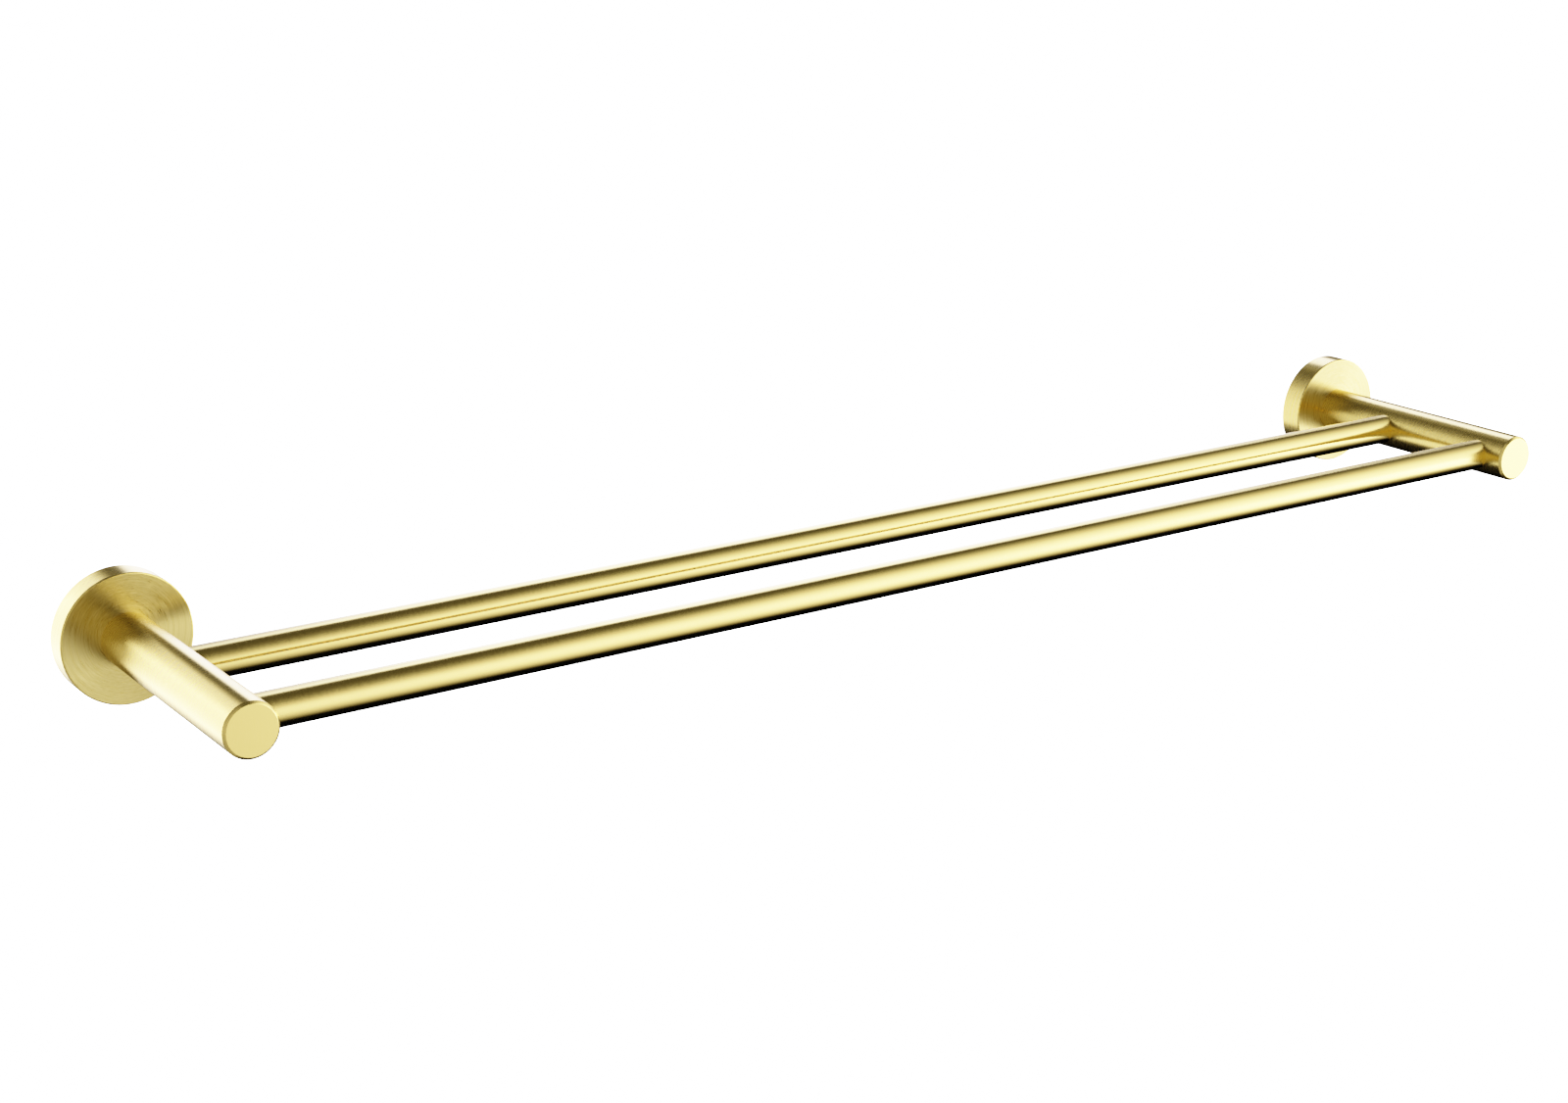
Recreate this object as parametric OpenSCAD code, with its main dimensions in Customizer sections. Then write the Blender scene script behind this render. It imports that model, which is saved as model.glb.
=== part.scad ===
// Double towel rail for a wall: two parallel round bars carried by two round posts.
// Each post stands on a round rosette, a shallow cup that hides the plate screwed to the wall.
// X runs along the bars, +Y into the wall and Z up. The origin is on the wall's surface,
// midway between the posts and level with their axes. All sizes are in millimetres.

/* [Overall] */
// Distance between the axes of the two posts
post_spacing = 600; // [300:5:900]
// Distance from the wall to the outer end of each post
projection = 120; // [100:1:180]

/* [Posts] */
// Diameter of each post
post_d = 20; // [19:0.5:26]
// Width of the bevel around the outer end of each post
post_bevel = 0.9; // [0.3:0.1:2]

/* [Towel bars] */
// Outer diameter of both bars
bar_d = 13; // [10:0.5:15]
// Wall thickness of the bar tube
bar_wall = 1; // [0.8:0.1:1.6]
// Distance from the wall to the axis of the rear bar
rear_bar_depth = 49; // [40:1:62]
// Distance from the outer end of the posts to the axis of the front bar
front_bar_inset = 15; // [10:0.5:20]
// How far each bar tube reaches past the axis of its post
bar_reach = 3.5; // [2.5:0.1:4]
// Radial gap between a bar and its socket in the post
bar_gap = 0.05; // [0.02:0.01:0.1]
// Gap between the end of a bar and the bottom of its socket
socket_end_gap = 0.5; // [0.2:0.1:1]

/* [Bar plugs] */
// Length of the plug body inside the tube
plug_len = 10; // [6:0.5:20]
// Thickness of the plug's flange
plug_flange_t = 1; // [0.6:0.1:1.5]
// Step from the tube's outer surface down to the edge of the flange
plug_flange_step = 0.3; // [0.1:0.1:0.6]
// Radial gap between the plug and the tube
plug_gap = 0.05; // [0.02:0.01:0.1]

/* [Rosettes] */
// Diameter of each rosette
rosette_d = 49; // [46:0.5:60]
// Distance from the wall to the rosette's front face
rosette_depth = 10.5; // [10:0.5:14]
// Thickness of the rosette's rim
rosette_wall = 2; // [1.5:0.1:2.5]
// Thickness of the rosette's front
rosette_front = 2.5; // [2:0.1:3]
// Radius of the rounded front edge
rosette_edge_r = 0.6; // [0.3:0.1:1.2]

/* [Wall plates] */
// Thickness of each wall plate
plate_t = 6; // [5:0.1:6.5]
// Radial gap between the wall plate and the rosette's rim
plate_gap = 0.3; // [0.2:0.05:0.5]
// Diameter of the central opening that clears the post screw's head
plate_bore_d = 14; // [13:0.5:16]
// Distance between the two wall screw holes of one plate
wall_screw_pitch = 28; // [26:0.5:30]
// Diameter of a wall screw hole
wall_screw_d = 5; // [4:0.1:5.5]
// Diameter of the countersink for a wall screw's head
countersink_d = 9.6; // [8:0.1:10]
// Depth of the countersink
countersink_depth = 2.3; // [1.5:0.1:2.8]
// Depth of the V groove that the rosette screw locks into
groove_depth = 1.5; // [1.2:0.1:1.8]
// Width of the V groove at the plate's edge
groove_w = 4.4; // [4:0.1:4.8]
// Distance from the wall to the middle of the V groove
groove_centre = 3; // [2.6:0.1:3.4]

/* [Post screws] */
// Thread diameter of the screw that holds the post on the rosette
post_screw_d = 6; // [5:0.5:6]
// Length of the screw under its head
post_screw_len = 16; // [12:1:20]
// Diameter of the screw head
post_head_d = 10; // [9:0.5:11]
// Height of the screw head
post_head_h = 4; // [3:0.1:4.2]
// Width across the flats of the screw's hexagon socket
post_key = 5; // [3:0.5:5]
// Depth of the screw's hexagon socket
post_key_depth = 2.4; // [1.5:0.1:2.6]
// Gap around the screw in the rosette's front
post_screw_gap = 0.3; // [0.1:0.1:0.5]
// Spare depth of the threaded hole beyond the screw's tip
post_hole_spare = 3; // [1:0.5:6]
// Diameter of the split lock washer
washer_d = 11; // [10:0.1:12]
// Thickness of the split lock washer
washer_t = 1.4; // [1:0.1:1.6]
// Width of the washer's split
washer_split = 0.9; // [0.5:0.1:1.5]

/* [Locating pins] */
// Diameter of the pin that keeps the post from turning on the rosette
pin_d = 3; // [2:0.1:3]
// Length of the pin
pin_len = 7; // [5:0.5:9]
// Distance from the post's axis to the pin's axis
pin_offset = 6.4; // [6:0.1:6.5]
// Radial gap around the pin
pin_gap = 0.05; // [0.02:0.01:0.1]
// Gap between the pin's inner end and the face that the washer lies on
pin_recess = 0.3; // [0.1:0.1:0.6]

/* [Grub screws] */
// Thread diameter of the grub screws
grub_d = 4; // [3:0.5:4]
// Width across the flats of a grub screw's hexagon socket
grub_key = 2; // [1.5:0.1:2]
// Depth of a grub screw's hexagon socket
grub_key_depth = 1.4; // [1:0.1:1.6]
// Radial gap that stands for the threads between a screw and its hole
thread_gap = 0.1; // [0.05:0.01:0.15]
// Depth of a bar screw's outer end below the post's surface
bar_screw_recess = 0.6; // [0.3:0.1:1]
// Depth of the rosette screw's outer end below the rosette's surface
rosette_screw_recess = 0.3; // [0.1:0.1:0.5]
// Gap between a bar screw's tip and the bar
bar_screw_gap = 0.05; // [0.02:0.01:0.1]
// Diameter of the flat at the tip of the cone-pointed rosette screw
cone_tip_d = 1; // [0.6:0.1:1.2]
// Length of the rosette screw's cone
cone_len = 1.2; // [0.8:0.1:1.4]
// Height of the rosette screw's tip above the bottom of the V groove
cone_tip_gap = 0.45; // [0.4:0.05:0.6]
// Width of the bevel at the end of a screw
screw_bevel = 0.3; // [0.1:0.1:0.5]

/* [Hidden] */

$fn = 96;
LEFT = -1;
RIGHT = 1;

BRASS = [0.80, 0.68, 0.40];
STEEL = [0.72, 0.73, 0.75];
DARK_STEEL = [0.30, 0.30, 0.32];
NYLON = [0.16, 0.16, 0.17];

// How far a cutting tool runs past the face that it opens
past = 1;

post_r = post_d / 2;
bar_r = bar_d / 2;
tube_bore_r = bar_r - bar_wall;
front_bar_depth = projection - front_bar_inset;
bar_len = post_spacing + 2 * bar_reach;
socket_reach = bar_reach + plug_flange_t + socket_end_gap;

rosette_r = rosette_d / 2;
cavity_r = rosette_r - rosette_wall;
cavity_depth = rosette_depth - rosette_front;
plate_r = cavity_r - plate_gap;
groove_r = plate_r - groove_depth;

post_screw_r = post_screw_d / 2;
head_seat = cavity_depth - washer_t;
post_tip = head_seat + post_screw_len;
pin_start = cavity_depth + pin_recess;
pin_end = pin_start + pin_len;
grub_r = grub_d / 2;
groove_tip_r = groove_r + cone_tip_gap;

// Radius to the corners of a hexagon that is across_flats wide
function hex_r(across_flats) = across_flats / sqrt(3);

// Puts a piece at the left or right post. At the right it is mirrored, so local +X always
// points towards the other post.
module at_post(side) {
    translate([side * post_spacing / 2, 0, 0])
        mirror([side == RIGHT ? 1 : 0, 0, 0])
            children();
}

// Turns a piece's own +Z away from the wall and starts it at this distance from the wall
module out_from_wall(depth) {
    translate([0, -depth, 0])
        rotate([90, 0, 0])
            children();
}

// Turns a piece's own +Z along the bars and puts its axis at this distance from the wall
module along_bar(depth) {
    translate([0, -depth, 0])
        rotate([0, 90, 0])
            children();
}

// Turns a piece's own +Z straight up, starting this far below the posts' axes
module up_from_below(depth, start) {
    translate([0, -depth, -start])
        children();
}

// Solid cylinder with a bevel around its upper end
module bevelled_rod(r, length, bevel) {
    cylinder(r = r, h = length - bevel);
    translate([0, 0, length - bevel])
        cylinder(r1 = r, r2 = r - bevel, h = bevel);
}

// Half profile of a disc whose front edge is rounded
module rounded_disc_profile(r, height, edge_r) {
    square([r - edge_r, height]);
    square([r, height - edge_r]);
    translate([r - edge_r, height - edge_r])
        intersection() {
            circle(r = edge_r);
            square(edge_r);
        }
}

// Turned disc with the V groove, the central opening and two countersunk screw holes
module wall_plate() {
    half_w = groove_w / 2;
    color(STEEL)
        difference() {
            out_from_wall(0)
                rotate_extrude()
                    polygon([
                        [0, 0],
                        [plate_r, 0],
                        [plate_r, groove_centre - half_w],
                        [groove_r, groove_centre],
                        [plate_r, groove_centre + half_w],
                        [plate_r, plate_t],
                        [0, plate_t]
                    ]);
            out_from_wall(-past)
                cylinder(d = plate_bore_d, h = plate_t + 2 * past);
            for (way = [-1, 1])
                translate([0, 0, way * wall_screw_pitch / 2])
                    wall_screw_cut();
        }
}

// Through hole with a countersink that opens away from the wall
module wall_screw_cut() {
    out_from_wall(-past)
        cylinder(d = wall_screw_d, h = plate_t + 2 * past);
    out_from_wall(plate_t - countersink_depth)
        cylinder(d1 = wall_screw_d, d2 = countersink_d, h = countersink_depth);
    out_from_wall(plate_t)
        cylinder(d = countersink_d, h = past);
}

// Shallow cup whose rim stands on the wall, drilled for the post screw, the pin and its own screw
module rosette() {
    color(BRASS)
        difference() {
            out_from_wall(0)
                rotate_extrude()
                    rounded_disc_profile(rosette_r, rosette_depth, rosette_edge_r);
            out_from_wall(-past)
                cylinder(r = cavity_r, h = cavity_depth + past);
            out_from_wall(0)
                cylinder(r = post_screw_r + post_screw_gap, h = rosette_depth + past);
            translate([0, 0, pin_offset])
                out_from_wall(0)
                    cylinder(r = pin_d / 2 + pin_gap, h = rosette_depth + past);
            up_from_below(groove_centre, rosette_r + past)
                cylinder(r = grub_r, h = rosette_wall + 2 * past);
        }
}

// Cone-pointed grub screw in the underside of the rosette, its tip in the wall plate's groove
module rosette_screw() {
    length = rosette_r - rosette_screw_recess - groove_tip_r;
    shank_r = grub_r - thread_gap;
    color(DARK_STEEL)
        up_from_below(groove_centre, groove_tip_r + length)
            difference() {
                union() {
                    cylinder(r = shank_r, h = length - cone_len);
                    translate([0, 0, length - cone_len])
                        cylinder(r1 = shank_r, r2 = cone_tip_d / 2, h = cone_len);
                }
                translate([0, 0, -past])
                    cylinder(r = hex_r(grub_key), h = grub_key_depth + past, $fn = 6);
            }
}

// Socket for a bar, blind at its outer end, with a threaded hole for the bar screw from below
module bar_socket_cut(depth) {
    translate([-socket_reach, 0, 0])
        along_bar(depth)
            cylinder(r = bar_r + bar_gap, h = socket_reach + post_r + past);
    up_from_below(depth, post_r + past)
        cylinder(r = grub_r, h = post_r + past - bar_r / 2);
}

// Solid round post that stands on the rosette and carries one end of each bar
module post() {
    color(BRASS)
        difference() {
            out_from_wall(rosette_depth)
                bevelled_rod(post_r, projection - rosette_depth, post_bevel);
            out_from_wall(rosette_depth - past)
                cylinder(r = post_screw_r, h = post_tip + post_hole_spare - rosette_depth + past);
            translate([0, 0, pin_offset])
                out_from_wall(rosette_depth - past)
                    cylinder(r = pin_d / 2 + pin_gap, h = pin_end + pin_recess - rosette_depth + past);
            bar_socket_cut(rear_bar_depth);
            bar_socket_cut(front_bar_depth);
        }
}

// Low-head screw that goes through the rosette's front from behind and into the post
module post_screw() {
    shank_r = post_screw_r - thread_gap;
    color(STEEL)
        difference() {
            union() {
                out_from_wall(head_seat)
                    bevelled_rod(shank_r, post_screw_len, screw_bevel);
                out_from_wall(head_seat - post_head_h)
                    cylinder(d = post_head_d, h = post_head_h);
            }
            out_from_wall(head_seat - post_head_h - past)
                cylinder(r = hex_r(post_key), h = post_key_depth + past, $fn = 6);
        }
}

// Split ring between the post screw's head and the rosette's front
module lock_washer() {
    color(STEEL)
        difference() {
            out_from_wall(head_seat)
                cylinder(d = washer_d, h = washer_t);
            out_from_wall(head_seat - past)
                cylinder(r = post_screw_r + thread_gap, h = washer_t + 2 * past);
            translate([-washer_split / 2, -head_seat - washer_t - past, -washer_d])
                cube([washer_split, washer_t + 2 * past, washer_d]);
        }
}

// Plain pin through the rosette's front into the post's base
module locating_pin() {
    color(STEEL)
        translate([0, 0, pin_offset])
            out_from_wall(pin_start)
                cylinder(d = pin_d, h = pin_len);
}

// Round tube that a towel hangs over
module towel_bar(depth) {
    color(BRASS)
        translate([-bar_len / 2, 0, 0])
            difference() {
                along_bar(depth)
                    cylinder(r = bar_r, h = bar_len);
                translate([-past, 0, 0])
                    along_bar(depth)
                        cylinder(r = tube_bore_r, h = bar_len + 2 * past);
            }
}

// Flanged plug that closes a bar's end and backs the tube where the bar screw presses on it
module bar_plug(depth) {
    color(NYLON) {
        translate([-bar_reach - plug_flange_t, 0, 0])
            along_bar(depth)
                cylinder(r = bar_r - plug_flange_step, h = plug_flange_t);
        translate([-bar_reach, 0, 0])
            along_bar(depth)
                cylinder(r = tube_bore_r - plug_gap, h = plug_len);
    }
}

// Flat-pointed grub screw that presses on the bar from below
module bar_screw(depth) {
    length = post_r - bar_screw_recess - bar_r - bar_screw_gap;
    color(DARK_STEEL)
        up_from_below(depth, post_r - bar_screw_recess)
            difference() {
                bevelled_rod(grub_r - thread_gap, length, screw_bevel);
                translate([0, 0, -past])
                    cylinder(r = hex_r(grub_key), h = grub_key_depth + past, $fn = 6);
            }
}

at_post(LEFT) wall_plate();  // wall_plate_left
at_post(RIGHT) wall_plate();  // wall_plate_right
at_post(LEFT) rosette();  // rosette_left
at_post(RIGHT) rosette();  // rosette_right
at_post(LEFT) rosette_screw();  // rosette_screw_left
at_post(RIGHT) rosette_screw();  // rosette_screw_right
at_post(LEFT) post();  // post_left
at_post(RIGHT) post();  // post_right
at_post(LEFT) post_screw();  // post_screw_left
at_post(RIGHT) post_screw();  // post_screw_right
at_post(LEFT) lock_washer();  // lock_washer_left
at_post(RIGHT) lock_washer();  // lock_washer_right
at_post(LEFT) locating_pin();  // locating_pin_left
at_post(RIGHT) locating_pin();  // locating_pin_right
towel_bar(rear_bar_depth);  // rear_bar
towel_bar(front_bar_depth);  // front_bar
at_post(LEFT) bar_plug(rear_bar_depth);  // plug_rear_left
at_post(RIGHT) bar_plug(rear_bar_depth);  // plug_rear_right
at_post(LEFT) bar_plug(front_bar_depth);  // plug_front_left
at_post(RIGHT) bar_plug(front_bar_depth);  // plug_front_right
at_post(LEFT) bar_screw(rear_bar_depth);  // bar_screw_rear_left
at_post(RIGHT) bar_screw(rear_bar_depth);  // bar_screw_rear_right
at_post(LEFT) bar_screw(front_bar_depth);  // bar_screw_front_left
at_post(RIGHT) bar_screw(front_bar_depth);  // bar_screw_front_right
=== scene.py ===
import math

import bmesh
import bpy
from mathutils import Matrix, Vector


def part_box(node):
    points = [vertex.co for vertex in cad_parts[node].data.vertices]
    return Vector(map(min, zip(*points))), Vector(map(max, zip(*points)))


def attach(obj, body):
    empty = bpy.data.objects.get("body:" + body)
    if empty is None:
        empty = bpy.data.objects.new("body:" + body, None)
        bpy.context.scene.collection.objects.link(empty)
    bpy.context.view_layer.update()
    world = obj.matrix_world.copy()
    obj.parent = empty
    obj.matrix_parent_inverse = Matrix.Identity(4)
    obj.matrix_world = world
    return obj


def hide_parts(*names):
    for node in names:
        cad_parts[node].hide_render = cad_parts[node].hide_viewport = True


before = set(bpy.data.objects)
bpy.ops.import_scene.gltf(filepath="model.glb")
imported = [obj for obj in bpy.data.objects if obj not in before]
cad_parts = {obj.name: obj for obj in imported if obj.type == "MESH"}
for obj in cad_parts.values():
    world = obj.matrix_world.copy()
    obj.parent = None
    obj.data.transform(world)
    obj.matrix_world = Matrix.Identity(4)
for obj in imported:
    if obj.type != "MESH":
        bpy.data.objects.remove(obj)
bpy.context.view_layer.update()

# ---------------------------------------------------------------------------
# Sizes, in metres, from the frame
# ---------------------------------------------------------------------------

MM = 0.001
SIDES = ("left", "right")
BARS = ("rear", "front")
ALONG_BAR = Vector((1, 0, 0))
OUT_OF_WALL = Vector((0, -1, 0))
DOWN = Vector((0, 0, -1))
ROUND_STEPS = 192
SOCKET_STEPS = 128
SMALL_STEPS = 64
CUT_PAST = 1 * MM
SAME_PLACE = 0.01 * MM
WELD = 0.001 * MM
SHARP_EDGE = math.radians(35)
SLIP_GAP = 0.05 * MM


def middle(node):
    """Centre of a CAD node's box."""
    low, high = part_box(node)
    return (low + high) / 2


def spread(node):
    """Width, depth and height of a CAD node's box."""
    low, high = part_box(node)
    return high - low


rosette_r = spread("rosette_left").x / 2
rosette_depth = spread("rosette_left").y
rosette_wall = 2 * MM
rosette_front = 2.5 * MM
rosette_edge_r = 0.6 * MM
rosette_rim_r = 0.2 * MM
cavity_r = rosette_r - rosette_wall
cavity_depth = rosette_depth - rosette_front

post_r = spread("post_left").x / 2
post_end = -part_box("post_left")[0].y
post_bevel = 0.9 * MM
post_bevel_edge_r = 0.12 * MM

bar_r = spread("rear_bar").y / 2
bar_wall = 1 * MM
bar_edge_r = 0.15 * MM
bar_end_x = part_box("rear_bar")[1].x
socket_r = bar_r + SLIP_GAP
socket_end_gap = 0.5 * MM
socket_end_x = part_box("plug_rear_right")[1].x + socket_end_gap

grub_hole_r = 2 * MM
screw_pass_r = 3.3 * MM
screw_hole_r = 3 * MM
screw_hole_spare = 3 * MM
screw_hole_end = -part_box("post_screw_left")[0].y + screw_hole_spare
pin_hole_r = spread("locating_pin_left").x / 2 + SLIP_GAP
pin_hole_spare = 0.3 * MM
pin_hole_end = -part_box("locating_pin_left")[0].y + pin_hole_spare
pin_height = middle("locating_pin_left").z

post_x = {side: middle(f"post_{side}").x for side in SIDES}
bar_y = {bar: middle(f"{bar}_bar").y for bar in BARS}
grub_y = middle("rosette_screw_left").y

# ---------------------------------------------------------------------------
# Modelling helpers
# ---------------------------------------------------------------------------


def only(obj):
    """Makes obj the one selected, active object."""
    if bpy.context.mode != "OBJECT":
        bpy.ops.object.mode_set(mode="OBJECT")
    bpy.ops.object.select_all(action="DESELECT")
    obj.select_set(True)
    bpy.context.view_layer.objects.active = obj


def added(name):
    """Names the primitive just added and puts its place, turn and scale into its mesh."""
    obj = bpy.context.object
    obj.name = name
    obj.data.name = name
    bpy.ops.object.transform_apply(location=True, rotation=True, scale=True)
    return obj


def add_rod(name, radius, start, end, sides=SMALL_STEPS):
    """A cylinder from one point to another."""
    bpy.ops.object.select_all(action="DESELECT")
    run = Vector(end) - Vector(start)
    bpy.ops.mesh.primitive_cone_add(
        vertices=sides,
        radius1=radius,
        radius2=radius,
        depth=run.length,
        location=(Vector(start) + Vector(end)) / 2,
        rotation=run.to_track_quat("Z", "Y").to_euler(),
    )
    return added(name)


def add_section(name, inner, outer, start, end):
    """A flat rectangle in the XY plane, from inner to outer in X and from start to end in Y."""
    bpy.ops.object.select_all(action="DESELECT")
    bpy.ops.mesh.primitive_plane_add(size=1, location=((inner + outer) / 2, (start + end) / 2, 0))
    bpy.ops.transform.resize(value=(outer - inner, end - start, 1))
    return added(name)


def pick(obj, kind, test):
    """In edit mode, selects the vertices, edges or faces whose middle passes the test."""
    bpy.ops.mesh.select_mode(type=kind)
    bpy.ops.mesh.select_all(action="DESELECT")
    mesh = bmesh.from_edit_mesh(obj.data)
    parts = {"VERT": mesh.verts, "EDGE": mesh.edges, "FACE": mesh.faces}[kind]
    for part in parts:
        if kind == "VERT":
            place = part.co
        elif kind == "EDGE":
            place = (part.verts[0].co + part.verts[1].co) / 2
        else:
            place = part.calc_center_median()
        if test(place):
            part.select_set(True)
    mesh.select_flush_mode()
    bmesh.update_edit_mesh(obj.data)


def near(a, b):
    """True where two lengths agree to a hundredth of a millimetre."""
    return abs(a - b) < SAME_PLACE


def round_corner(obj, x, y, radius, segments=3):
    """Rounds one corner of a flat section."""
    pick(obj, "VERT", lambda p: near(p.x, x) and near(p.y, y))
    bpy.ops.mesh.bevel(offset=radius, segments=segments, affect="VERTICES")


def turn_on_lathe(obj, axis_x):
    """Spins a section drawn in the XY plane about the Y axis, and moves it along X to axis_x."""
    bpy.ops.mesh.select_all(action="SELECT")
    bpy.ops.mesh.dissolve_limited(angle_limit=math.radians(0.5))
    bpy.ops.mesh.select_all(action="SELECT")
    bpy.ops.mesh.delete(type="ONLY_FACE")
    pick(obj, "EDGE", lambda p: near(p.x, 0))
    bpy.ops.mesh.delete(type="EDGE")
    bpy.ops.mesh.select_all(action="SELECT")
    bpy.ops.mesh.spin(steps=ROUND_STEPS, angle=2 * math.pi, center=(0, 0, 0), axis=(0, 1, 0))
    bpy.ops.mesh.select_all(action="SELECT")
    bpy.ops.mesh.remove_doubles(threshold=WELD)
    bpy.ops.mesh.select_all(action="SELECT")
    bpy.ops.mesh.normals_make_consistent(inside=False)
    bpy.ops.object.mode_set(mode="OBJECT")
    bpy.ops.transform.translate(value=(axis_x, 0, 0))
    bpy.ops.object.transform_apply(location=True, rotation=True, scale=True)


def cut(obj, cutter):
    """Takes the cutter's shape out of obj."""
    only(obj)
    tool = obj.modifiers.new("cut", "BOOLEAN")
    tool.operation = "DIFFERENCE"
    tool.solver = "EXACT"
    tool.object = cutter
    bpy.ops.object.modifier_apply(modifier=tool.name)
    bpy.data.objects.remove(cutter)


def mirrored(obj, name):
    """A copy with its own mesh, mirrored across the plane x = 0."""
    twin = obj.copy()
    twin.data = obj.data.copy()
    twin.name = name
    twin.data.name = name
    bpy.context.scene.collection.objects.link(twin)
    only(twin)
    twin.scale.x = -1
    bpy.ops.object.transform_apply(location=True, rotation=True, scale=True)
    bpy.ops.object.mode_set(mode="EDIT")
    bpy.ops.mesh.select_all(action="SELECT")
    bpy.ops.mesh.normals_make_consistent(inside=False)
    bpy.ops.object.mode_set(mode="OBJECT")
    return twin


def finish_front(obj, material, front_y):
    """Gives the flat front of a turned piece its own material."""
    obj.data.materials.append(material)
    for face in obj.data.polygons:
        if near(face.center.y, front_y):
            face.material_index = len(obj.data.materials) - 1


def dress(obj, node, material):
    """Smooths a finished piece, lets it stand for its CAD node and gives it its material."""
    only(obj)
    bpy.ops.object.shade_smooth_by_angle(angle=SHARP_EDGE)
    weigh = obj.modifiers.new("even", "WEIGHTED_NORMAL")
    weigh.keep_sharp = True
    weigh.weight = 100
    bpy.ops.object.modifier_apply(modifier=weigh.name)
    obj.data.materials.append(material)
    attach(obj, "root")
    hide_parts(node)
    return obj


# ---------------------------------------------------------------------------
# Materials
# ---------------------------------------------------------------------------

BRASS = (0.86, 0.67, 0.25)
BRASS_DEEP = (0.79, 0.605, 0.205)
# Darker brass for the rosette faces and their marks: painted shade, as if each face caught less light
# than its edge.
SHADED_FACE_BRASS = (0.68, 0.55, 0.235)
SHADED_FACE_BRASS_DEEP = (0.52, 0.41, 0.15)
PLATE_STEEL = (0.58, 0.585, 0.60)
SCREW_STEEL = (0.62, 0.62, 0.63)
GRUB_STEEL = (0.075, 0.075, 0.08)
NYLON = (0.03, 0.03, 0.032)
NYLON_DEEP = (0.018, 0.018, 0.02)

# Scales of the noise behind the marks, in turns per metre, and how the marks bend across a turn.
BRASS_COARSE = 900
BRASS_FINE = 3600
END_GRAIN = 3200
END_GRAIN_STRETCH = (1.0, 1.0, 0.06)
STEEL_MARKS = 2400
NYLON_GRAIN = 2500
MARK_DRIFT = 2.2 * MM

# How deep the marks are.
BRASS_MARK_DEPTH = 0.004 * MM
END_MARK_DEPTH = 0.002 * MM
STEEL_MARK_DEPTH = 0.005 * MM
NYLON_GRAIN_DEPTH = 0.02 * MM

# Nearly all noise values lie between these two.
NOISE_LOW = 0.25
NOISE_HIGH = 0.75

# A quarter turn, which lays the blur of the anisotropic metals across their marks.
ACROSS_MARKS = 0.25


def new_material(name):
    """An empty node material with its principled shader."""
    material = bpy.data.materials.new(name)
    material.use_nodes = True
    tree = material.node_tree
    tree.nodes.clear()
    shader = tree.nodes.new("ShaderNodeBsdfPrincipled")
    output = tree.nodes.new("ShaderNodeOutputMaterial")
    tree.links.new(shader.outputs["BSDF"], output.inputs["Surface"])
    return material, tree, shader


def maths(tree, operation, a, b=None):
    """A scalar maths node on sockets or numbers."""
    node = tree.nodes.new("ShaderNodeMath")
    node.operation = operation
    for slot, value in enumerate((a, b)):
        if isinstance(value, bpy.types.NodeSocket):
            tree.links.new(value, node.inputs[slot])
        elif value is not None:
            node.inputs[slot].default_value = value
    return node.outputs[0]


def vector_maths(tree, operation, a, b=None):
    """A vector maths node on sockets or vectors."""
    node = tree.nodes.new("ShaderNodeVectorMath")
    node.operation = operation
    for slot, value in enumerate((a, b)):
        if isinstance(value, bpy.types.NodeSocket):
            tree.links.new(value, node.inputs[slot])
        elif value is not None:
            node.inputs[slot].default_value = value
    return node.outputs["Value" if operation in ("LENGTH", "DOT_PRODUCT") else "Vector"]


def noise(tree, vector, scale, detail=2.0, roughness=0.5):
    """Noise around 0.5 at a scale in turns per metre."""
    node = tree.nodes.new("ShaderNodeTexNoise")
    node.inputs["Scale"].default_value = scale
    node.inputs["Detail"].default_value = detail
    node.inputs["Roughness"].default_value = roughness
    tree.links.new(vector, node.inputs["Vector"])
    return node.outputs["Fac"]


def between(tree, value, low, high):
    """Turns noise around 0.5 into a number that runs from low to high."""
    node = tree.nodes.new("ShaderNodeMapRange")
    node.inputs["From Min"].default_value = NOISE_LOW
    node.inputs["From Max"].default_value = NOISE_HIGH
    node.inputs["To Min"].default_value = low
    node.inputs["To Max"].default_value = high
    tree.links.new(value, node.inputs["Value"])
    return node.outputs["Result"]


def blend_colours(tree, factor, first, second):
    """Mixes two colours by a factor."""
    node = tree.nodes.new("ShaderNodeMix")
    node.data_type = "RGBA"
    node.inputs["A"].default_value = (*first, 1)
    node.inputs["B"].default_value = (*second, 1)
    tree.links.new(factor, node.inputs["Factor"])
    return node.outputs["Result"]


def bump(tree, height, depth):
    """A bump whose height runs over this many metres."""
    node = tree.nodes.new("ShaderNodeBump")
    node.inputs["Strength"].default_value = 1.0
    node.inputs["Distance"].default_value = depth
    tree.links.new(height, node.inputs["Height"])
    return node.outputs["Normal"]


def lathe_lines(tree, centre, axis):
    """Coordinates for marks that run round an axis, and the direction in which they run."""
    place = tree.nodes.new("ShaderNodeTexCoord").outputs["Object"]
    arm = vector_maths(tree, "SUBTRACT", place, centre)
    along = vector_maths(tree, "DOT_PRODUCT", arm, axis)
    run = vector_maths(tree, "CROSS_PRODUCT", axis, arm)
    reach = vector_maths(tree, "LENGTH", run)
    step = maths(tree, "ADD", along, reach)
    way = vector_maths(tree, "NORMALIZE", run)
    lines = tree.nodes.new("ShaderNodeCombineXYZ")
    tree.links.new(step, lines.inputs["X"])
    drift = vector_maths(tree, "MULTIPLY", way, (MARK_DRIFT, MARK_DRIFT, MARK_DRIFT))
    return vector_maths(tree, "ADD", drift, lines.outputs["Vector"]), run


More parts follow.
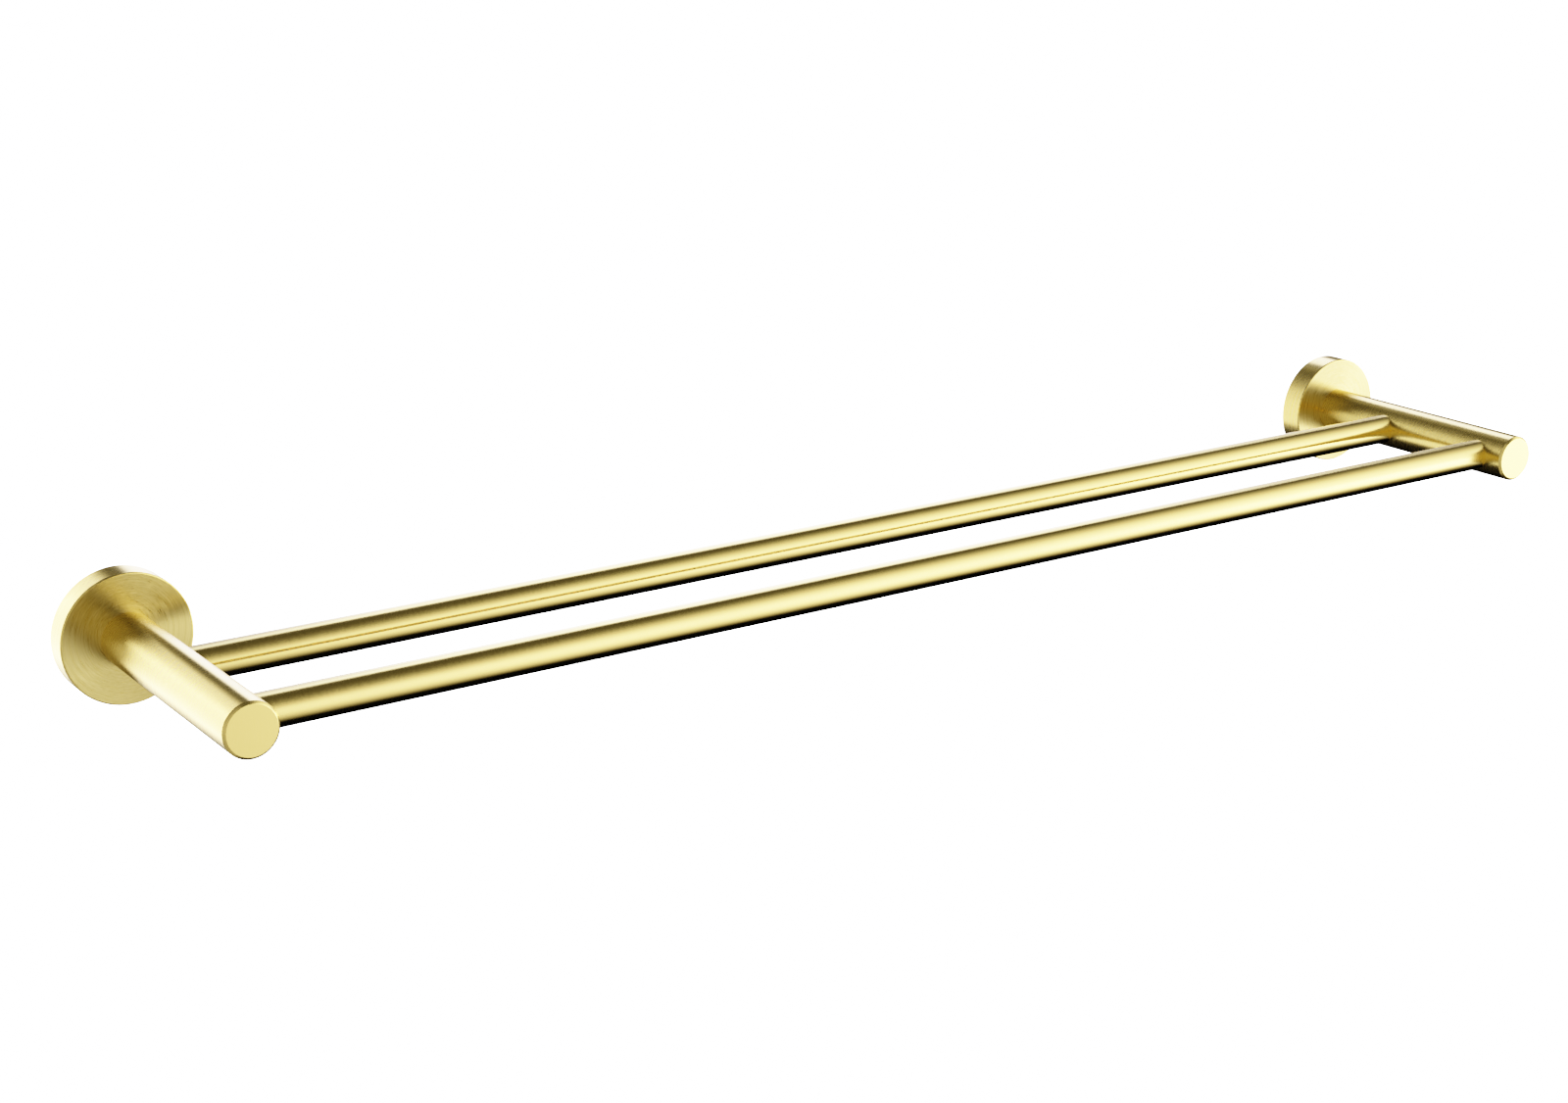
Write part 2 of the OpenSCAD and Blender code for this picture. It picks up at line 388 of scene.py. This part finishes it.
def brushed_brass(name, centre, axis, colours=(BRASS_DEEP, BRASS), roughness=0.28, grain=1.0):
    """Lacquered brass brushed round an axis, as left by a belt on a turning rod."""
    material, tree, shader = new_material(name)
    lines, run = lathe_lines(tree, centre, axis)
    coarse = maths(tree, "MULTIPLY", noise(tree, lines, BRASS_COARSE, detail=3), 0.5)
    fine = maths(tree, "MULTIPLY", noise(tree, lines, BRASS_FINE, detail=2), 0.5)
    marks = maths(tree, "ADD", coarse, fine)
    tone = between(tree, marks, 0.5 - 0.5 * grain, 0.5 + 0.5 * grain)
    tree.links.new(blend_colours(tree, tone, *colours), shader.inputs["Base Color"])
    rough = between(tree, marks, roughness - 0.05 * grain, roughness + 0.05 * grain)
    tree.links.new(rough, shader.inputs["Roughness"])
    tree.links.new(bump(tree, marks, BRASS_MARK_DEPTH * grain), shader.inputs["Normal"])
    tree.links.new(vector_maths(tree, "NORMALIZE", run), shader.inputs["Tangent"])
    shader.inputs["Metallic"].default_value = 1.0
    shader.inputs["Anisotropic"].default_value = 0.85
    shader.inputs["Anisotropic Rotation"].default_value = ACROSS_MARKS
    return material


def straight_brass(name):
    """Lacquered brass with a fine straight grain, for the flat ends of the posts."""
    material, tree, shader = new_material(name)
    place = tree.nodes.new("ShaderNodeTexCoord").outputs["Object"]
    stretched = vector_maths(tree, "MULTIPLY", place, END_GRAIN_STRETCH)
    marks = noise(tree, stretched, END_GRAIN, detail=3)
    tree.links.new(blend_colours(tree, marks, BRASS_DEEP, BRASS), shader.inputs["Base Color"])
    tree.links.new(between(tree, marks, 0.3, 0.4), shader.inputs["Roughness"])
    tree.links.new(bump(tree, marks, END_MARK_DEPTH), shader.inputs["Normal"])
    shader.inputs["Metallic"].default_value = 1.0
    return material


def machined_steel(name, centre, axis, colour, roughness):
    """Turned steel with fine tool marks round an axis."""
    material, tree, shader = new_material(name)
    lines, run = lathe_lines(tree, centre, axis)
    marks = noise(tree, lines, STEEL_MARKS, detail=3)
    darker = tuple(0.82 * c for c in colour)
    tree.links.new(blend_colours(tree, marks, darker, colour), shader.inputs["Base Color"])
    rough = between(tree, marks, roughness - 0.06, roughness + 0.08)
    tree.links.new(rough, shader.inputs["Roughness"])
    tree.links.new(bump(tree, marks, STEEL_MARK_DEPTH), shader.inputs["Normal"])
    tree.links.new(vector_maths(tree, "NORMALIZE", run), shader.inputs["Tangent"])
    shader.inputs["Metallic"].default_value = 1.0
    shader.inputs["Anisotropic"].default_value = 0.6
    shader.inputs["Anisotropic Rotation"].default_value = ACROSS_MARKS
    return material


def moulded_nylon(name):
    """Matt dark nylon with a faint moulded grain."""
    material, tree, shader = new_material(name)
    place = tree.nodes.new("ShaderNodeTexCoord").outputs["Object"]
    grain = noise(tree, place, NYLON_GRAIN, detail=4)
    tree.links.new(blend_colours(tree, grain, NYLON_DEEP, NYLON), shader.inputs["Base Color"])
    tree.links.new(between(tree, grain, 0.5, 0.65), shader.inputs["Roughness"])
    tree.links.new(bump(tree, grain, NYLON_GRAIN_DEPTH), shader.inputs["Normal"])
    return material


# ---------------------------------------------------------------------------
# Pieces
# ---------------------------------------------------------------------------


def drill(obj, radius, start, end, sides=SMALL_STEPS):
    """Cuts a round hole in obj from one point to another."""
    cut(obj, add_rod("drill", radius, start, end, sides))


def make_rosette(side):
    """Shallow turned cup with a rounded front edge, and its holes for post screw, pin and grub screw."""
    name = f"rosette_shell_{side}"
    shell = add_section(name, screw_pass_r, rosette_r, -rosette_depth, -cavity_depth)
    only(shell)
    bpy.ops.object.mode_set(mode="EDIT")
    bpy.ops.mesh.select_all(action="SELECT")
    bpy.ops.mesh.bisect(plane_co=(cavity_r, 0, 0), plane_no=(1, 0, 0))
    pick(shell, "EDGE", lambda p: near(p.y, -cavity_depth) and p.x > cavity_r)
    bpy.ops.mesh.extrude_region_move(TRANSFORM_OT_translate={"value": (0, cavity_depth, 0)})
    round_corner(shell, rosette_r, -rosette_depth, rosette_edge_r, segments=5)
    round_corner(shell, rosette_r, 0, rosette_rim_r)
    round_corner(shell, cavity_r, 0, rosette_rim_r)
    turn_on_lathe(shell, post_x[side])
    grub = Vector((post_x[side], grub_y, 0))
    inside = grub + DOWN * (cavity_r - CUT_PAST)
    drill(shell, grub_hole_r, inside, grub + DOWN * (rosette_r + CUT_PAST))
    pin = Vector((post_x[side], 0, pin_height))
    behind = pin + OUT_OF_WALL * (cavity_depth - CUT_PAST)
    drill(shell, pin_hole_r, behind, pin + OUT_OF_WALL * (rosette_depth + CUT_PAST))
    return shell


def make_post():
    """The left post: a turned rod with a bevelled end, two blind sockets and its screw and pin holes."""
    x = post_x["left"]
    rod = add_section("post_rod_left", 0, post_r, -post_end, -rosette_depth)
    only(rod)
    bpy.ops.object.mode_set(mode="EDIT")
    round_corner(rod, post_r, -post_end, post_bevel, segments=1)
    round_corner(rod, post_r, -post_end + post_bevel, post_bevel_edge_r)
    round_corner(rod, post_r - post_bevel, -post_end, post_bevel_edge_r)
    turn_on_lathe(rod, x)
    axis = Vector((x, 0, 0))
    pin = Vector((x, 0, pin_height))
    behind = OUT_OF_WALL * (rosette_depth - CUT_PAST)
    drill(rod, screw_hole_r, axis + behind, axis + OUT_OF_WALL * screw_hole_end)
    drill(rod, pin_hole_r, pin + behind, pin + OUT_OF_WALL * pin_hole_end)
    for bar in BARS:
        centre = Vector((x, bar_y[bar], 0))
        bottom = Vector((-socket_end_x, bar_y[bar], 0))
        drill(rod, socket_r, bottom, centre + ALONG_BAR * (post_r + CUT_PAST), SOCKET_STEPS)
        drill(rod, grub_hole_r, centre + DOWN * (bar_r / 2), centre + DOWN * (post_r + CUT_PAST))
    return rod


def make_bar(bar):
    """Round tube with its two ends broken by a small bevel."""
    tube = add_section(f"towel_bar_{bar}", bar_r - bar_wall, bar_r, -bar_end_x, bar_end_x)
    only(tube)
    bpy.ops.object.mode_set(mode="EDIT")
    for end in (-bar_end_x, bar_end_x):
        round_corner(tube, bar_r, end, bar_edge_r)
        round_corner(tube, bar_r - bar_wall, end, bar_edge_r)
    turn_on_lathe(tube, 0)
    quarter = Matrix.Rotation(-math.pi / 2, 4, "Z")
    tube.data.transform(Matrix.Translation((0, bar_y[bar], 0)) @ quarter)
    return tube


def finish_rosette(side):
    """Brushed rosette whose face has coarser marks than its edge and a darker brass, which is painted
    shade.
    """
    rosette = make_rosette(side)
    centre = Vector((post_x[side], 0, 0))
    edge = brushed_brass(f"rosette_brass_{side}", centre, OUT_OF_WALL)
    dress(rosette, f"rosette_{side}", edge)
    # The face's darker brass is painted shade; its coarser marks and higher roughness are real.
    shaded_face_tones = (SHADED_FACE_BRASS_DEEP, SHADED_FACE_BRASS)
    face = brushed_brass(f"rosette_shaded_face_{side}", centre, OUT_OF_WALL, shaded_face_tones, roughness=0.32, grain=1.8)
    finish_front(rosette, face, -rosette_depth)


def finish_post(post, side, end_finish):
    """Post brushed round its axis, with a straight grain on its end."""
    centre = Vector((post_x[side], 0, 0))
    round_finish = brushed_brass(f"post_brass_{side}", centre, OUT_OF_WALL, grain=0.7)
    dress(post, f"post_{side}", round_finish)
    finish_front(post, end_finish, -post_end)


def finish_bar(bar):
    """Towel bar brushed round its axis, smoother than the posts."""
    tube = make_bar(bar)
    centre = Vector((0, bar_y[bar], 0))
    finish = brushed_brass(f"bar_brass_{bar}", centre, ALONG_BAR, roughness=0.21, grain=0.6)
    dress(tube, f"{bar}_bar", finish)


def coat(node, material):
    """Gives a CAD node that keeps its own shape a new material."""
    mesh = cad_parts[node].data
    mesh.materials.clear()
    mesh.materials.append(material)


def coat_fixings(side, nylon):
    """Steel and nylon for the pieces hidden in one rosette and one post."""
    centre = Vector((post_x[side], 0, 0))
    plate = machined_steel(f"plate_steel_{side}", centre, OUT_OF_WALL, PLATE_STEEL, roughness=0.36)
    coat(f"wall_plate_{side}", plate)
    bolt = machined_steel(f"bolt_steel_{side}", centre, OUT_OF_WALL, SCREW_STEEL, roughness=0.3)
    for piece in ("post_screw", "lock_washer", "locating_pin"):
        coat(f"{piece}_{side}", bolt)
    grub_centre = Vector((post_x[side], grub_y, 0))
    grub = machined_steel(f"rosette_grub_{side}", grub_centre, DOWN, GRUB_STEEL, roughness=0.34)
    coat(f"rosette_screw_{side}", grub)
    for bar in BARS:
        coat(f"plug_{bar}_{side}", nylon)
        grub_centre = Vector((post_x[side], bar_y[bar], 0))
        name = f"bar_grub_{bar}_{side}"
        grub = machined_steel(name, grub_centre, DOWN, GRUB_STEEL, roughness=0.34)
        coat(f"bar_screw_{bar}_{side}", grub)


def build_rail():
    """Every piece of the rail, with its finish."""
    for side in SIDES:
        finish_rosette(side)
    left_post = make_post()
    right_post = mirrored(left_post, "post_rod_right")
    end_finish = straight_brass("post_end_brass")
    finish_post(left_post, "left", end_finish)
    finish_post(right_post, "right", end_finish)
    for bar in BARS:
        finish_bar(bar)
    nylon = moulded_nylon("plug_nylon")
    for side in SIDES:
        coat_fixings(side, nylon)


# ---------------------------------------------------------------------------
# Stage, light and camera
# ---------------------------------------------------------------------------


# Every card of the studio: where it starts and ends along the bars' direction, from -1 far left to 1
# far right, how soft its ends are, where it starts and ends round the bars, in degrees, how soft its
# lower and upper edges are, its brightness and its tint. Angles climb over the top, from straight in
# front for the front cards and from straight behind for the back ones. The front cards' upper edges
# rise to the right: they hold where x is FRONT_MIDDLE, and grow by FRONT_SPREAD for each unit of x.
NEUTRAL = (1.0, 1.0, 1.0)
COOL = (1.0, 1.08, 1.6)
FRONT_CARDS = (
    ((0.28, 1.2), 0.30, (-41, 34), (74, 66), 3.9, NEUTRAL),
    ((0.60, 1.2), 0.30, (-41, 34), (74, 66), 1.3, NEUTRAL),
    ((0.745, 1.2), 0.06, (-44, 3), (20, 16), 6.5, NEUTRAL),
    ((-1.2, -0.05), 0.30, (-100, 100), (30, 60), 0.9, NEUTRAL),
)
BACK_CARDS = (
    ((-0.53, 0.10), 0.13, (-30, 24), (12, 12), 8.0, NEUTRAL),
    ((-0.50, 0.15), 0.10, (21, 32), (8, 8), 1.9, NEUTRAL),
    ((-1.2, -0.53), 0.14, (-40, 24), (14, 18), 1.9, NEUTRAL),
    ((0.37, 0.67), 0.10, (-8, 38), (8, 14), 4.4, COOL),
    ((0.33, 0.67), 0.06, (40, 63), (14, 16), 4.6, COOL),
    ((0.02, 0.26), 0.14, (38, 62), (10, 22), 0.5, NEUTRAL),
)
FRONT_MIDDLE = 0.45
FRONT_SPREAD = 2.9
FRONT_NARROWEST = 0.6
TO_DEGREES = 180 / math.pi

# The dim room: its light, and how high and how softly it fades into the dark floor.
ROOM_LIGHT = 0.2
ROOM_EDGE = -0.35
ROOM_EDGE_SOFT = 0.5

# The white that the camera sees behind the rail, and the floor.
WHITE = (1, 1, 1, 1)
WHITE_LIGHT = 8
FLOOR_TONE = (0.9, 0.9, 0.9, 1)
FLOOR_HEIGHT = -1.2
FLOOR_WIDTH = 80

# The tone curve: the light that shows as full white, how softly shadows start, and the lights at
# which the curve has a point.
BRIGHTEST = 8.0
TOE = 0.14
CURVE_LIGHTS = (0.04, 0.08, 0.14, 0.22, 0.35, 0.5, 0.75, 1.0, 1.4, 1.8, 2.4, 3.2, 4.2, 5.6)

CAMERA_PLACE = (-0.5940, -0.8531, 0.2959)
CAMERA_YAW = math.radians(34.286)
CAMERA_PITCH = math.radians(17.0)
CAMERA_LENS = 59.15
SENSOR_WIDTH = 36


def soft_step(tree, value, limit, soft, rises):
    """Zero before the limit and one past it, or the other way round, over the soft distance."""
    step = tree.nodes.new("ShaderNodeMapRange")
    step.interpolation_type = "SMOOTHSTEP"
    step.inputs["From Min"].default_value = limit - soft / 2
    step.inputs["From Max"].default_value = limit + soft / 2
    step.inputs["To Min"].default_value = 0.0 if rises else 1.0
    step.inputs["To Max"].default_value = 1.0 if rises else 0.0
    tree.links.new(value, step.inputs["Value"])
    return step.outputs["Result"]


def studio_card(tree, across, lower, upper, card):
    """The light of one card, from the directions measured across, from its lower and its upper edge."""
    (start, end), end_soft, (low, high), (low_soft, high_soft), brightness, tint = card
    shape = maths(
        tree,
        "MULTIPLY",
        soft_step(tree, across, start, end_soft, rises=True),
        soft_step(tree, across, end, end_soft, rises=False),
    )
    shape = maths(tree, "MULTIPLY", shape, soft_step(tree, lower, low, low_soft, rises=True))
    shape = maths(tree, "MULTIPLY", shape, soft_step(tree, upper, high, high_soft, rises=False))
    return vector_maths(tree, "MULTIPLY", [brightness * c for c in tint], shape)


def front_growth(tree, x):
    """How far the front cards' upper edges climb at x, as a share of their stated angle."""
    past_middle = maths(tree, "MULTIPLY", maths(tree, "SUBTRACT", x, FRONT_MIDDLE), FRONT_SPREAD)
    return maths(tree, "MAXIMUM", maths(tree, "ADD", past_middle, 1), FRONT_NARROWEST)


def studio_light(tree):
    """The light that arrives from each direction: a dim room and its cards."""
    split = tree.nodes.new("ShaderNodeSeparateXYZ")
    tree.links.new(tree.nodes.new("ShaderNodeTexCoord").outputs["Generated"], split.inputs[0])
    x, y, z = split.outputs
    forward = maths(tree, "MULTIPLY", y, -1)
    from_front = maths(tree, "MULTIPLY", maths(tree, "ARCTAN2", z, forward), TO_DEGREES)
    from_back = maths(tree, "MULTIPLY", maths(tree, "ARCTAN2", z, y), TO_DEGREES)
    spread_front = maths(tree, "DIVIDE", from_front, front_growth(tree, x))
    above_floor = soft_step(tree, z, ROOM_EDGE, ROOM_EDGE_SOFT, rises=True)
    total = vector_maths(tree, "MULTIPLY", (ROOM_LIGHT, ROOM_LIGHT, ROOM_LIGHT), above_floor)
    for card in FRONT_CARDS:
        light = studio_card(tree, x, from_front, spread_front, card)
        total = vector_maths(tree, "ADD", total, light)
    for card in BACK_CARDS:
        light = studio_card(tree, x, from_back, from_back, card)
        total = vector_maths(tree, "ADD", total, light)
    return total


def light_studio():
    """Lights the metal from the studio's cards, and shows the camera plain white behind it."""
    world = bpy.data.worlds.new("studio")
    bpy.context.scene.world = world
    world.use_nodes = True
    tree = world.node_tree
    tree.nodes.clear()
    cards = tree.nodes.new("ShaderNodeBackground")
    tree.links.new(studio_light(tree), cards.inputs["Color"])
    blank = tree.nodes.new("ShaderNodeBackground")
    blank.inputs["Color"].default_value = WHITE
    blank.inputs["Strength"].default_value = WHITE_LIGHT
    camera_sees = tree.nodes.new("ShaderNodeLightPath").outputs["Is Camera Ray"]
    mix = tree.nodes.new("ShaderNodeMixShader")
    tree.links.new(camera_sees, mix.inputs["Fac"])
    tree.links.new(cards.outputs["Background"], mix.inputs[1])
    tree.links.new(blank.outputs["Background"], mix.inputs[2])
    output = tree.nodes.new("ShaderNodeOutputWorld")
    tree.links.new(mix.outputs["Shader"], output.inputs["Surface"])


def lay_floor():
    """A wide pale floor, as far below as a towel rail hangs, kept out of the metal's reflections."""
    bpy.ops.object.select_all(action="DESELECT")
    bpy.ops.mesh.primitive_plane_add(size=FLOOR_WIDTH, location=(0, 0, FLOOR_HEIGHT))
    floor = added("floor")
    material, _, shader = new_material("pale_floor")
    shader.inputs["Base Color"].default_value = FLOOR_TONE
    shader.inputs["Roughness"].default_value = 0.9
    shader.inputs["Emission Color"].default_value = WHITE
    shader.inputs["Emission Strength"].default_value = WHITE_LIGHT
    floor.data.materials.append(material)
    floor.visible_glossy = False


def set_tone():
    """A soft shoulder, so that bright metal pales gently towards white."""
    view = bpy.context.scene.view_settings
    view.view_transform = "Standard"
    view.use_curve_mapping = True
    mapping = view.curve_mapping
    mapping.white_level = (BRIGHTEST, BRIGHTEST, BRIGHTEST)
    curve = mapping.curves[3]
    for light in CURVE_LIGHTS:
        curve.points.new(light / BRIGHTEST, 1 - math.exp(-light * light / (light + TOE)))
    curve.points[-1].location = (1, 1)
    mapping.update()


def place_camera():
    """Three-quarter view from the left, a little above the bars."""
    data = bpy.data.cameras.new("camera")
    data.sensor_width = SENSOR_WIDTH
    data.lens = CAMERA_LENS
    data.clip_end = 200
    camera = bpy.data.objects.new("camera", data)
    camera.location = CAMERA_PLACE
    camera.rotation_euler = (math.pi / 2 - CAMERA_PITCH, 0, -CAMERA_YAW)
    bpy.context.scene.collection.objects.link(camera)
    bpy.context.scene.camera = camera


build_rail()
light_studio()
lay_floor()
set_tone()
place_camera()
